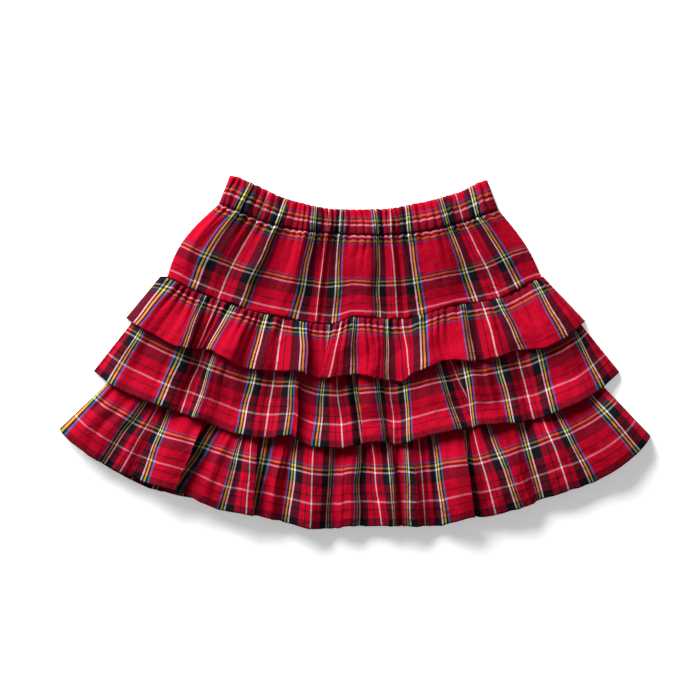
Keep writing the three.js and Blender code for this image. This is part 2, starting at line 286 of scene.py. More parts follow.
class Pile:
    """The top of everything laid so far, as heights on a square grid."""

    CELL = 1.5
    REACH = (300.0, 190.0)

    def __init__(self) -> None:
        """Starts with the bare floor."""
        self.shape = tuple(int(2 * reach / self.CELL) + 1 for reach in self.REACH)
        self.top = np.zeros(self.shape)

    def _cells(self, x: Array, y: Array) -> tuple[Array, Array]:
        """Grid places, as fractions of cells."""
        return (x + self.REACH[0]) / self.CELL, (y + self.REACH[1]) / self.CELL

    def lay(self, grid: Array) -> None:
        """Adds a sheet's grid of points to the pile."""
        dense = np.concatenate([
            grid.reshape(-1, 3),
            ((grid[1:] + grid[:-1]) / 2).reshape(-1, 3),
            ((grid[:, 1:] + grid[:, :-1]) / 2).reshape(-1, 3),
        ])
        i, j = (np.rint(c).astype(int) for c in self._cells(dense[:, 0], dense[:, 1]))
        np.maximum.at(self.top, (i, j), dense[:, 2])

    def _blend(self, cells: int, times: int, blend: Callable[..., Array]) -> Array:
        """The pile's top with each cell blended with its neighbours, along and across, some times."""
        heights = self.top
        for axis in (0, 1) * times:
            stack = [np.roll(heights, shift, axis) for shift in range(-cells, cells + 1)]
            heights = blend(stack, axis=0)
        return heights

    def _read(self, heights: Array, x: Array, y: Array) -> Array:
        """Heights between cells, by straight lines."""
        px, py = self._cells(x, y)
        i = np.clip(px.astype(int), 0, self.shape[0] - 2)
        j = np.clip(py.astype(int), 0, self.shape[1] - 2)
        s, t = px - i, py - j
        low = heights[i, j] * (1 - s) + heights[i + 1, j] * s
        high = heights[i, j + 1] * (1 - s) + heights[i + 1, j + 1] * s
        return low * (1 - t) + high * t

    def support(self, x: Array, y: Array) -> tuple[Array, Array]:
        """What a limp sheet lies on.

        Args:
            x: Places across.
            y: Places up the skirt.

        Returns:
            The softened height, and the true height that no sheet may pass through.
        """
        soft = self._blend(3, 3, np.mean)
        near = self._blend(1, 1, np.max)
        return self._read(soft, x, y), self._read(near, x, y)


# ---- shader nodes as sums ----


class Value:
    """A node socket that can be used in sums; each operator adds a Math node."""

    def __init__(self, tree: Tree, source: Socket) -> None:
        """Wraps one output socket of a node tree."""
        self.tree = tree
        self.source = source

    def _math(self, operation: str, *terms: "Term") -> "Value":
        """Adds one Math node over the terms."""
        made = node(self.tree, "ShaderNodeMath", {"operation": operation}, dict(enumerate(terms)))
        return Value(self.tree, made.outputs[0])

    def __add__(self, other: "Term") -> "Value":
        """self + other."""
        return self._math("ADD", self, other)

    def __sub__(self, other: "Term") -> "Value":
        """self - other."""
        return self._math("SUBTRACT", self, other)

    def __mul__(self, other: "Term") -> "Value":
        """self times other."""
        return self._math("MULTIPLY", self, other)

    def __truediv__(self, other: "Term") -> "Value":
        """self over other."""
        return self._math("DIVIDE", self, other)

    def __mod__(self, other: float) -> "Value":
        """self modulo other, never negative."""
        return self._math("FLOORED_MODULO", self, other)

    def __abs__(self) -> "Value":
        """The size of self."""
        return self._math("ABSOLUTE", self)

    def floor(self) -> "Value":
        """The whole number below self."""
        return self._math("FLOOR", self)

    def sine(self) -> "Value":
        """The sine of self, in radians."""
        return self._math("SINE", self)


Term = Value | float


def node(tree: Tree, kind: str, settings: dict, inputs: dict) -> bpy.types.Node:
    """Adds a node to a tree.

    Args:
        tree: The node tree.
        kind: The node's type name.
        settings: Properties, set before the inputs.
        inputs: Sockets by name or number, each with a value, a socket or a Value.

    Returns:
        The new node.
    """
    made = tree.nodes.new(kind)
    for name, value in settings.items():
        setattr(made, name, value)
    for name, value in inputs.items():
        if isinstance(value, Value):
            value = value.source
        if isinstance(value, Socket):
            tree.links.new(value, made.inputs[name])
        else:
            made.inputs[name].default_value = value
    return made


def new_material(name: str) -> tuple[Material, Tree]:
    """An empty material and its node tree."""
    material = bpy.data.materials.new(name)
    material.use_nodes = True
    material.node_tree.nodes.clear()
    return material, material.node_tree


def noise(tree: Tree, place: Socket, scale: float, detail: float, **more: float) -> Value:
    """How high a noise stands at a place, from 0 to 1; more holds its other inputs."""
    inputs = {"Vector": place, "Scale": scale, "Detail": detail, **more}
    return Value(tree, node(tree, "ShaderNodeTexNoise", {}, inputs).outputs["Fac"])


# ---- finishes ----


class Yarn(Enum):
    """The dyed yarns of the check, as square roots of how much light each throws back."""

    RED = (0.562, 0.028, 0.113, 1.0)
    BLACK = (0.075, 0.07, 0.085, 1.0)
    WHITE = (0.76, 0.75, 0.74, 1.0)
    YELLOW = (0.68, 0.595, 0.15, 1.0)
    BLUE = (0.11, 0.35, 0.61, 1.0)
    DIM_BLUE = (0.11, 0.28, 0.47, 1.0)
    DIM_YELLOW = (0.67, 0.54, 0.15, 1.0)


Sett = tuple[tuple[float, Yarn], ...]
WARP_SETT: Sett = ((0.0, Yarn.WHITE), (0.65, Yarn.RED), (5.2, Yarn.BLACK), (6.3, Yarn.RED),
                   (11.2, Yarn.BLACK), (19.2, Yarn.WHITE), (20.6, Yarn.BLACK), (22.2, Yarn.YELLOW),
                   (23.9, Yarn.BLACK), (25.7, Yarn.BLUE), (27.4, Yarn.RED))
WARP_REPEAT = 95.0
WEFT_SETT: Sett = ((0.0, Yarn.WHITE), (0.8, Yarn.RED), (6.4, Yarn.BLACK), (7.6, Yarn.RED),
                   (14.9, Yarn.BLACK), (24.9, Yarn.WHITE), (26.4, Yarn.BLACK), (28.7, Yarn.DIM_YELLOW),
                   (30.7, Yarn.BLACK), (31.8, Yarn.DIM_BLUE), (33.3, Yarn.RED))
WEFT_REPEAT = 107.2


@dataclass(frozen=True)
class CheckCotton:
    """Light twill cotton woven in a mirrored check, read from the sheet's own cloth map."""

    name: str = "check_cotton"
    yarn: float = 0.3  # pitch of the yarns
    warp_face: float = 0.64  # share of the colour that is the warp's
    twill: float = 0.2  # how far that share swings between one yarn and the next
    dyed: float = 0.14  # how far the yarns differ in how light they are
    washed: float = 0.22  # the same for broad patches of the cloth
    roughness: float = 0.86
    gloss: float = 0.04
    crumple: float = 1.0  # height of the creases that are too fine for the mesh
    wale: float = 0.05  # height of the twill's ridges

    def _stripes(self, tree: Tree, along: Value, sett: Sett, repeat: float) -> Value:
        """The yarn colour across one repeat, mirrored about its white line."""
        half = repeat / 2
        away = abs((along + half) % repeat - half) / half
        made = node(tree, "ShaderNodeValToRGB", {}, {"Fac": away})
        ramp = made.color_ramp
        ramp.interpolation = "CONSTANT"
        while len(ramp.elements) < len(sett):
            ramp.elements.new(1.0)
        for element, (place, yarn) in zip(ramp.elements, sett):
            element.position = place / half
            element.color = yarn.value
        return Value(tree, made.outputs["Color"])

    def _uneven(self, tree: Tree, yarn_number: Value) -> Value:
        """How light each yarn is dyed, about 1."""
        drawn = node(tree, "ShaderNodeTexWhiteNoise", {"noise_dimensions": "1D"}, {"W": yarn_number})
        return (Value(tree, drawn.outputs["Value"]) - 0.5) * self.dyed + 1.0

    def _shade(self, tree: Tree, colour: Value, light: Value) -> Value:
        """A colour made lighter or darker."""
        scaled = node(tree, "ShaderNodeVectorMath", {"operation": "SCALE"}, {0: colour, "Scale": light})
        return Value(tree, scaled.outputs["Vector"])

    def make(self) -> Material:
        """Builds the material."""
        material, tree = new_material(self.name)
        cloth_map = node(tree, "ShaderNodeUVMap", {"uv_map": "cloth"}, {})
        axes = node(tree, "ShaderNodeSeparateXYZ", {}, {"Vector": cloth_map.outputs["UV"]})
        across = Value(tree, axes.outputs["X"]) * (1 / MM)
        down = Value(tree, axes.outputs["Y"]) * (1 / MM)
        warp = self._shade(tree, self._stripes(tree, across, WARP_SETT, WARP_REPEAT),
                           self._uneven(tree, (across / self.yarn).floor()))
        weft = self._shade(tree, self._stripes(tree, down, WEFT_SETT, WEFT_REPEAT),
                           self._uneven(tree, (down / self.yarn).floor()))
        twill = ((across + down) * (math.pi / (2 * self.yarn))).sine()
        woven = node(tree, "ShaderNodeMix", {"data_type": "RGBA"},
                     {"Factor": twill * self.twill + self.warp_face, 6: weft, 7: warp}).outputs[2]
        squared = node(tree, "ShaderNodeVectorMath", {"operation": "MULTIPLY"}, {0: woven, 1: woven})
        position = node(tree, "ShaderNodeTexCoord", {}, {}).outputs["Object"]
        cloudy = noise(tree, position, 38.0, 4.0) - 0.5
        colour = self._shade(tree, Value(tree, squared.outputs["Vector"]), cloudy * self.washed + 1.0)
        fine = noise(tree, position, 110.0, 4.0, Roughness=0.6)
        ridges = abs(noise(tree, position, 42.0, 1.5, Distortion=0.6) - 0.5) * -3.0
        creased = node(tree, "ShaderNodeBump", {},
                       {"Distance": self.crumple * MM, "Height": ridges + fine})
        relief = node(tree, "ShaderNodeBump", {},
                      {"Strength": 0.5, "Distance": self.wale * MM, "Height": twill,
                       "Normal": creased.outputs["Normal"]})
        surface = node(tree, "ShaderNodeBsdfPrincipled", {},
                       {"Base Color": colour, "Roughness": cloudy * 0.1 + self.roughness,
                        "Specular IOR Level": self.gloss, "Normal": relief.outputs["Normal"]})
        node(tree, "ShaderNodeOutputMaterial", {}, {"Surface": surface.outputs[0]})
        return material


@dataclass(frozen=True)
class Thread:
    """Red sewing thread, with a slight twist along it."""

    name: str = "red_thread"
    colour: tuple[float, float, float] = (0.17, 0.003, 0.01)
    roughness: float = 0.85
    gloss: float = 0.05

    def make(self) -> Material:
        """Builds the material."""
        material, tree = new_material(self.name)
        position = node(tree, "ShaderNodeTexCoord", {}, {}).outputs["Object"]
        twist = noise(tree, position, 2500.0, 1.0) * 0.5 + 0.75
        dyed = node(tree, "ShaderNodeVectorMath", {"operation": "SCALE"},
                    {0: self.colour, "Scale": twist})
        surface = node(tree, "ShaderNodeBsdfPrincipled", {},
                       {"Base Color": dyed.outputs["Vector"], "Roughness": self.roughness,
                        "Specular IOR Level": self.gloss})
        node(tree, "ShaderNodeOutputMaterial", {}, {"Surface": surface.outputs[0]})
        return material


# ---- meshes ----


def new_object(name: str, data: bpy.types.ID) -> Object:
    """Puts a mesh, light or camera into the scene under a name."""
    made = bpy.data.objects.new(name, data)
    bpy.context.scene.collection.objects.link(made)
    return made


def sheet_object(name: str, grid: Array, cloth_map: Array, turned: Array,
                 finish: Material) -> Object:
    """Makes a thin closed shell from a grid of points.

    Args:
        name: The object's name.
        grid: Points in millimetres, rows from seam to hem and columns from left to right.
        cloth_map: Each point's place on the flat cut, in millimetres.
        turned: How much of a turned hem's thickness each point has, from 0 to 1.
        finish: The cloth's material.

    Returns:
        The object, with its upper face up.
    """
    rows, columns = grid.shape[:2]
    number = np.arange(rows * columns).reshape(rows, columns)
    faces = np.stack([number[:-1, :-1], number[1:, :-1], number[1:, 1:], number[:-1, 1:]], axis=-1)
    faces = faces.reshape(-1, 4)
    mesh = bpy.data.meshes.new(name)
    mesh.from_pydata((grid.reshape(-1, 3) * MM).tolist(), [], faces.tolist())
    mesh.polygons.foreach_set("use_smooth", np.ones(len(faces), bool))
    corners = (cloth_map.reshape(-1, 2) * MM)[faces.ravel()].astype(np.float32)
    mesh.uv_layers.new(name="cloth").data.foreach_set("uv", corners.ravel())
    mesh.materials.append(finish)
    made = new_object(name, mesh)
    group = made.vertex_groups.new(name="turned")
    for step in (np.arange(TURN_STEPS) + 1) / TURN_STEPS:
        chosen = np.nonzero(np.abs(turned.ravel() - step) < 0.5 / TURN_STEPS)[0]
        if len(chosen):
            group.add(chosen.tolist(), float(step), "REPLACE")
    wall = made.modifiers.new("wall", "SOLIDIFY")
    wall.thickness = TURNED * MM
    wall.vertex_group = group.name
    wall.thickness_vertex_group = CLOTH / TURNED
    return made


@dataclass(frozen=True)
class Weft:
    """How the check lies down a piece: fixed at the hem, at the seam, or at set places between."""

    at_hem: float | None = None
    at_seam: float | None = None
    knots: Points = ()
    give: float = 0.35  # how much of the folds' rise and fall pulls at the check
    waver: float = 0.3  # the same where it is fixed at set places

    def place(self, drop: Array, v: Array) -> Array:
        """Distance down the check.

        Args:
            drop: Distance of each point from the seam, down the cloth, with rows down the cloth.
            v: Share of the way from seam to hem.

        Returns:
            The place on the check's repeat, in millimetres.
        """
        even = np.mean(drop, axis=1, keepdims=True)
        if self.knots:
            return through(*np.array(self.knots, float).T, v + self.waver * (drop - even) / even[-1])
        drop = even + self.give * (drop - even)
        if self.at_hem is not None:
            return self.at_hem - (drop[-1:] - drop)
        return self.at_seam + drop


BESIDE_TURN = np.arange(-4.0, 4.1, 0.7)  # extra columns at the turn of a fold
LEAST_COLUMN = 0.3
SWAY_X, SWAY_Y = (24.0, 26.0), (20.0, 40.0)  # its reaches across and down the cloth
SIDE_SHARE = 0.25  # share of the width that a bowed side takes along
SEAM_EDGE = (-0.5, 2.5)  # drop over which a seam lets go of the gathers
HEM_EDGE = (-0.5, 2.0)  # the same for a hem that is sewn down
LEAN = 3.0  # how far the folds lean to and fro
LEAN_REACH = 30.0
FADE_SPREAD = 0.6  # how unequally far down the gathers reach
LASTING = 0.06  # share of a gather that is left at the hem
SOFT_PITCH = 2.2  # how many gathers run into one soft fold
SETTLED = 0.75  # share of a soft fold that is gone at a free hem
CREASES = (0.55, 8.0, 22.0)  # height, and reaches across and down
DENTS = (0.7, 22.0, 26.0)  # the same
HEM_RIDGE = 0.25  # rise at the inner edge of the turned hem
HEM_PULL = 0.15  # how far its stitches pull at the cloth
HEM_WAVE = (0.45, 7.0)  # how far a hem strays from its line, and its reach


@dataclass
class Sheet:
    """One gathered piece of the skirt, front or back."""

    node: str
    face: Face
    seam: Line
    hem: Line
    across: tuple[Mark, ...]
    weft: Weft
    pitch: float = 11.0  # cloth in one gather at the seam
    pucker: float = 2.2  # height of the gathers at the seam
    fade: float = 12.0  # how far the gathers reach down
    swell: float = 3.2  # height of the softer folds that they run into
    stand: float = 2.5  # how far the hem stands off what is below
    fold_scale: float = 2.0
    fold_reach: tuple[float, float] = (-0.1, 0.6)  # shares of the drop over which the folds grow
    folds: Points = ()  # heights of folds by place across, where the marks don't give them
    hem_turn: float = 7.5
    column: float = 1.4
    row: float = 1.9
    seed: int = 1
    bow: tuple[float, float] = (0.0, 0.0)
    sway: float = 1.3  # how far the folds carry the cloth to and fro
    zigzag: float = 0.0  # how far the gathers pull the check up and down at the seam
    under: float = 0.0  # how far the seam edge runs on, under the piece above
    over: float = 0.0  # what is tucked under its edges
    puff: float = 1.2  # how far it swells out below its seam
    pinched: float = 0.75  # how far the seam line presses the gathers down
    held_hem: bool = False  # whether its lower edge is sewn down
    sewn_at: float = 0.0  # how far above the hem the stitches run, or 0 for none
    length: float = 0.0  # drop of the flat cut

    def _columns(self) -> Array:
        """Places across the cut, closer together at the tight turns of a fold."""
        cloth, hem = np.array([(m.cloth, m.hem) for m in self.across], float).T
        plain = np.linspace(cloth[0], cloth[-1], int((cloth[-1] - cloth[0]) / self.column) + 1)
        step = np.diff(hem)
        turns = cloth[1:-1][step[:-1] * step[1:] < 0]
        every = np.sort(np.concatenate([plain, (turns[:, None] + BESIDE_TURN).ravel()]))
        return every[np.concatenate([[True], np.diff(every) > LEAST_COLUMN])]

    def grid(self, pile: Pile) -> tuple[Array, Array, Array]:
        """Lays the piece on the pile.

        Args:
            pile: What is below it.

        Returns:
            Its points, its places on the flat cut, and how far each point is in a turned hem.
        """
        cloth = self._columns()
        knots, *ends = np.array([(m.cloth, m.hem, m.seam, m.lift) for m in self.across], float).T
        hem_x, seam_x, lift = (through(knots, values, cloth) for values in ends)
        if self.folds:
            lift = through(*np.array(self.folds, float).T, cloth)
        hem_y = self.hem.y(hem_x)
        seam_y = self.seam.y(seam_x)
        mean_drop = float(np.mean(np.hypot(hem_x - seam_x, hem_y - seam_y)))
        v = np.linspace(-self.under / mean_drop, 1.0, int(mean_drop / self.row) + 1)[:, None]
        drop = v * mean_drop
        inset = np.minimum(cloth - cloth[0], cloth[-1] - cloth)
        share = (cloth - cloth[0]) / (cloth[-1] - cloth[0])
        x = seam_x + (hem_x - seam_x) * v + self._side_bow(share, v)
        y = seam_y + (hem_y - seam_y) * v
        z = self._rest(pile, x, y, self._height(cloth, lift, drop, v, mean_drop), inset)
        free = ease(inset, 0.0, SIDE_CALM)
        sway = self.sway * free * np.sin(np.pi * np.clip(v, 0, 1))
        x = x + sway * ripple(cloth, drop, *SWAY_X, self.seed + 31)
        y = y + sway * ripple(cloth, drop, *SWAY_Y, self.seed + 32)
        y = y + free * self._edge_shift(cloth, drop)
        grid = np.stack([x, y, z], axis=-1)
        steps = np.linalg.norm(np.diff(grid, axis=0), axis=-1)
        run = np.concatenate([np.zeros((1, len(cloth))), np.cumsum(steps, axis=0)]) - self.under
        gathered = (gathers(cloth, self.pitch, self.seed) - 0.45) * np.exp(-np.clip(drop, 0, None) / 6.0)
        down = self.weft.place(run, v + 0 * x) + self.zigzag * gathered
        cloth_map = np.stack([np.broadcast_to(cloth, x.shape), down], axis=-1)
        turned = 0 * x
        if self.hem_turn:
            turned = ease(run[-1:] - run, self.hem_turn + 1.0, self.hem_turn - 0.5)
        self.length = float(np.mean(run[-1]))
        return grid, cloth_map, np.round(turned * TURN_STEPS) / TURN_STEPS

    def _rest(self, pile: Pile, x: Array, y: Array, height: Array, inset: Array) -> Array:
        """Lays the cloth's relief on the pile.

        Args:
            pile: What is below the piece.
            x: Where its points are, across.
            y: Where they are, up the skirt.
            height: The relief.
            inset: Distance across the cloth from the nearest side.

        Returns:
            The height of each point above the floor.
        """
        roll = np.sqrt(1 - (1 - np.clip(inset / SIDE_ROLL, 0, 1)) ** 2)
        soft, hard = pile.support(x, y)
        wall = TURNED if self.hem_turn else CLOTH
        sunk = SIDE_CLOSE * np.clip(1 - inset, 0, 1) if self.face is Face.FRONT else 0.0
        z = np.maximum(soft + height * roll, hard + TOUCH) + CLEAR + wall * (1 - sunk) + self.over
        z = np.maximum(z, wall + FLOOR_AIR)
        return np.where(z > EASY_TOP, EASY_TOP + PRESSED * (1 - np.exp((EASY_TOP - z) / PRESSED)), z)

    def _side_bow(self, share: Array, v: Array) -> Array:
        """Sideways shift of the sides between the seams."""
        near = np.clip(1 - np.minimum(share, 1 - share) / SIDE_SHARE, 0, 1) ** 2
        return np.where(share < 0.5, -self.bow[0], self.bow[1]) * near * np.sin(np.pi * np.clip(v, 0, 1))

    def _height(self, cloth: Array, lift: Array, drop: Array, v: Array, whole: float) -> Array:
        """How far each point stands above what the piece lies on."""
        below = np.clip(drop, 0, None)
        left = whole - drop
        pinch = 1 - self.pinched * (1 - ease(drop, *SEAM_EDGE))
        sewn = 1.0
        settled = 1 - SETTLED * ease(v, 0.45, 1.0)
        if self.held_hem:
            sewn = (1 - 0.5 * ease(v, 0.3, 1.0)) * (0.5 + 0.5 * ease(left, *HEM_EDGE))
            settled = 1.0
            pinch = pinch * sewn
        leaning = cloth + LEAN * ripple(cloth, drop, LEAN_REACH, LEAN_REACH, self.seed + 2)
        fade = self.fade * (1 + FADE_SPREAD * wander(cloth, 0.9 * self.pitch, self.seed + 17))
        fine = self.pucker * gathers(leaning, self.pitch, self.seed) * (
            (1 - LASTING) * np.exp(-below / fade) + LASTING)
        soft_folds = gathers(leaning, SOFT_PITCH * self.pitch, self.seed + 5) ** 1.4
        middle = self.swell * soft_folds * ease(drop, 0.0, 2.2 * self.fade) * settled
        folds = self.fold_scale * lift * ease(v, *self.fold_reach)
        stand = self.stand * ease(v, 0.0, 0.9)
        puff = self.puff * (1 - np.exp(-below / 3.0)) * settled
        creases = CREASES[0] * ripple(leaning, drop, *CREASES[1:], self.seed + 9)
        dents = DENTS[0] * ripple(leaning, drop, *DENTS[1:], self.seed + 12)
        relief = fine + middle + puff + (creases + dents) * ease(drop, 2.0, 14.0)
        if self.hem_turn:
            relief = relief + HEM_PULL * wander(cloth, 2.2, self.seed + 15) * ease(left, 14.0, 7.0)
            stand = stand + HEM_RIDGE * ease(left, self.hem_turn + 0.8, self.hem_turn - 0.6)
        return relief * pinch + folds * sewn + stand + 0.15

    def _edge_shift(self, cloth: Array, drop: Array) -> Array:
        """Small waves of the hem along the skirt."""
        amount, reach = HEM_WAVE
        return amount * wander(cloth, reach, self.seed + 21) * ease(drop / drop[-1], 0.7, 1.0)

    def stitched_path(self) -> tuple[Array, Array]:
        """Where the hem is sewn.

        Returns:
            Points along the stitches and the cloth's upward direction at each.
        """
        row = (len(self.points) - 1) * (1 - self.sewn_at / self.length)
        i, share = int(row), row - int(row)
        line = self.points[i] * (1 - share) + self.points[i + 1] * share
        along = np.gradient(line, axis=0)
        up = np.cross(self.points[i] - self.points[i + 1], along)
        up *= np.sign(up[:, 2:3]) / np.linalg.norm(up, axis=1, keepdims=True)
        return line + 0.12 * up, up

    def build(self, pile: Pile, finish: Material) -> Object:
        """Makes the piece.

        Args:
            pile: What is below it.
            finish: Its material.

        Returns:
            The finished object, riding on the skirt's body and standing for its CAD solid.
        """
        grid, cloth_map, turned = self.grid(pile)
        made = sheet_object(f"{self.node}_cloth", grid, cloth_map, turned, finish)
        self.points = grid
        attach(made, "root")
        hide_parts(self.node)
        CASING_SLOT if "waistband" in self.node else SHEET_SLOT
        width = (self.across[-1].cloth - self.across[0].cloth) * MM
        LOG.info("%s: %d points, cut %.0f by %.0f mm", made.name, grid[..., 0].size, width / MM,
                 self.length)
        return made


@dataclass
class Band(Sheet):
    """The waistband casing: a doubled strip drawn up on its elastic."""

    sway: float = 0.4
    depth: float = 2.2  # how far it stands up over the elastic
    scallop: float = 1.3  # how far the gathers push the top edge up and down

    def _height(self, cloth: Array, lift: Array, drop: Array, v: Array, whole: float) -> Array:
        """A rounded top edge, upright gathers, and a pinch along the stitched line."""
        round_top = np.sqrt(1 - (1 - np.clip(drop / 2.6, 0, 1)) ** 2)
        held = ease(whole - drop, -0.2, 1.9)
        leaning = cloth + 1.6 * ripple(cloth, drop, 14.0, 14.0, self.seed + 2)
        upright = self.pucker * gathers(leaning, self.pitch, self.seed) * (0.45 + 0.55 * held)
        second = 0.4 * self.pucker * gathers(leaning, 2.3 * self.pitch, self.seed + 3) * held
        crumple = 0.35 * ripple(leaning, drop, 5.0, 8.0, self.seed + 9) * held
        crumple = crumple + self.fold_scale * lift * ease(v, 0.1, 1.0)
        return self.depth * round_top * held + (upright + second + crumple) * (0.35 + 0.65 * round_top)

    def _edge_shift(self, cloth: Array, drop: Array) -> Array:
        """The scallops of the top edge."""
        wave = gathers(cloth, self.pitch, self.seed) - 0.45
        return self.scallop * wave * np.exp(-drop / 4.0)


# ---- the pieces ----


BOW = (9.0, 4.5)  # how far the yoke's sides bow out
BAND_WEFT = Weft(knots=((0, 40.6), (1, 16.2)))
BASE_WEFT = Weft(at_seam=6.3)
RUFFLE_1_WEFT = Weft(at_seam=17.0)
RUFFLE_2_WEFT = Weft(at_hem=21.2)
RUFFLE_3_WEFT = Weft(at_hem=21.9)


def even_marks(cut: float, seam: tuple[float, float], hem: tuple[float, float], lift: float, seed: int,
               pleats: int = 0, depth: float = 0.0) -> tuple[Mark, ...]:
    """Marks for a hidden piece: even folds, with some of them folded right over.

    Args:
        cut: Width of the flat cut.
        seam: First and last x along the seam.
        hem: First and last x along the hem.
        lift: How high a fold stands at the hem.
        seed: Fixes the draw.
        pleats: How many folds lie over on themselves.
        depth: How far they do.

    Returns:
        The marks, from left to right.
    """
    draw = np.random.default_rng(seed)
    span = hem[1] - hem[0]
    turns = [(hem[0], 0.0)]
    for k in range(pleats):
        at = hem[0] + span * (k + 0.5 + draw.uniform(-0.15, 0.15)) / pleats
        turns += [(at + depth / 2, lift), (at - depth / 2, 0.5 * lift), (at + 0.6 * depth, 0.1 * lift)]
    turns.append((hem[1], 0.0))
    path = turns[:1]
    for (x0, _), (x1, z1) in zip(turns, turns[1:]):
        steps = max(1, int(abs(x1 - x0) / 13.0))
        for j in range(1, steps):
            share = (j + draw.uniform(-0.2, 0.2)) / steps
            path.append((x0 + (x1 - x0) * share, lift * draw.uniform(0.5, 0.9) * (j % 2)))
        path.append((x1, z1))
    x = np.array([p[0] for p in path])
    run = np.concatenate([[0.0], np.cumsum(np.abs(np.diff(x)))])
    cloth = run / run[-1] * cut
    sewn = seam[0] + (x - hem[0]) / span * (seam[1] - seam[0])
    return tuple(Mark(float(c), float(h), float(e), p[1]) for c, h, e, p in zip(cloth, x, sewn, path))


def back_pieces() -> list[list[Sheet]]:
    """The back of the skirt: groups of pieces that lie on the same things, from the floor up."""
    flat = {"stand": 0.0, "fold_scale": 1.0, "puff": 0.3}
    tier = {"pucker": 1.4, "swell": 0.9, "column": 2.2, "row": 2.6, **flat}
    base = {"pitch": 20, "pucker": 0.3, "swell": 0.3, "hem_turn": 0, "column": 4.0, "row": 4.0, **flat}
    return [
        [Sheet("yoke_back", Face.BACK, WAIST_SEAM, YOKE_SEAM,
               even_marks(378, (-122, 128.5), (-169, 168), 0.8, 3), Weft(knots=((0, -82.3), (1, 6.3))),
               pitch=9.5, hem_turn=0, seed=31, bow=BOW, held_hem=True,
               **{**tier, "pucker": 2.2, "swell": 0.6}),
         Band("waistband_back", Face.BACK, WAIST_EDGE, WAIST_SEAM,
              even_marks(378, (-112.5, 118.5), (-122.4, 129), 0, 4), BAND_WEFT,
              pitch=9.5, pucker=2.4, depth=1.0, hem_turn=0, column=1.6, row=1.8, seed=31)],
        [Sheet("ruffle_1_back", Face.BACK, YOKE_SEAM, BACK_HEM_1,
               even_marks(560, (-175.5, 170), (-206, 207), 1.3, 5, pleats=5, depth=9.0),
               RUFFLE_1_WEFT, seed=35, **tier)],
        [Sheet("ruffle_2_back", Face.BACK, RUFFLE_2_SEAM, BACK_HEM_2,
               even_marks(660, (-190, 192), (-234.9, 237.6), 1.4, 6, pleats=6, depth=10.0),
               RUFFLE_2_WEFT, seed=37, **tier)],
        [Sheet("ruffle_3_back", Face.BACK, RUFFLE_3_SEAM, BACK_HEM_3,
               even_marks(828, (-212, 213), (-265.5, 265.5), 1.5, 7, pleats=10, depth=12.0),
               RUFFLE_3_WEFT, seed=39, **tier)],
        [Sheet("base_back", Face.BACK, YOKE_SEAM, RUFFLE_3_SEAM,
               even_marks(430, (-169, 168), (-212, 213), 0.4, 8), BASE_WEFT, seed=41, **base)],
    ]


def front_pieces() -> list[list[Sheet]]:
    """The front of the skirt, in the same way."""
    return [
        [Sheet("base_front", Face.FRONT, YOKE_SEAM, RUFFLE_3_SEAM,
               even_marks(430, (-169, 168), (-212, 213), 0.4, 9), BASE_WEFT,
               pitch=20, pucker=0.3, swell=0.3, stand=0, puff=0.3, hem_turn=0, column=4.0, row=4.0,
               seed=51)],
        [Sheet("ruffle_3_front", Face.FRONT, RUFFLE_3_SEAM, RUFFLE_3_HEM, RUFFLE_3_MARKS, RUFFLE_3_WEFT,
               pucker=5.0, fade=16.0, stand=4.5, fold_scale=2.1, column=1.15, row=1.75, seed=53,
               sewn_at=6.9)],
        [Sheet("ruffle_2_front", Face.FRONT, RUFFLE_2_SEAM, RUFFLE_2_HEM, RUFFLE_2_MARKS, RUFFLE_2_WEFT,
               pucker=5.0, fade=15.0, swell=2.2, stand=0.0, puff=0.4, fold_scale=1.6, column=1.0,
               row=1.6, seed=55, sewn_at=6.9)],
        [Sheet("ruffle_1_front", Face.FRONT, YOKE_SEAM, RUFFLE_1_HEM, RUFFLE_1_MARKS, RUFFLE_1_WEFT,
               pucker=8.0, fade=11.0, swell=2.2, stand=0.0, puff=1.6, fold_scale=1.6, hem_turn=8.0,
               column=0.9, row=1.4, seed=57, under=1.6, sewn_at=7.5),
         Sheet("yoke_front", Face.FRONT, WAIST_SEAM, YOKE_SEAM, YOKE_MARKS,
               Weft(knots=((0, -82.3), (0.11, -74.5), (0.512, -32.7), (0.914, 0), (1, 6.6))),
               pitch=9.0, pucker=7.0, fade=9.0, swell=2.4, stand=0, puff=0.8, fold_scale=1.9,
               fold_reach=(-0.3, 0.12), folds=YOKE_FOLDS, zigzag=3.4, pinched=0.6, hem_turn=0,
               column=0.9, row=1.5, seed=59, bow=BOW, over=0.9, held_hem=True),
         Band("waistband_front", Face.FRONT, WAIST_EDGE, WAIST_SEAM, BAND_MARKS, BAND_WEFT,
              pitch=9.0, pucker=4.0, fold_scale=1.5, folds=YOKE_FOLDS, depth=1.3, hem_turn=0,
              column=0.8, row=1.0, seed=59, over=0.9, sewn_at=0.8)],
    ]


# ---- sewing ----


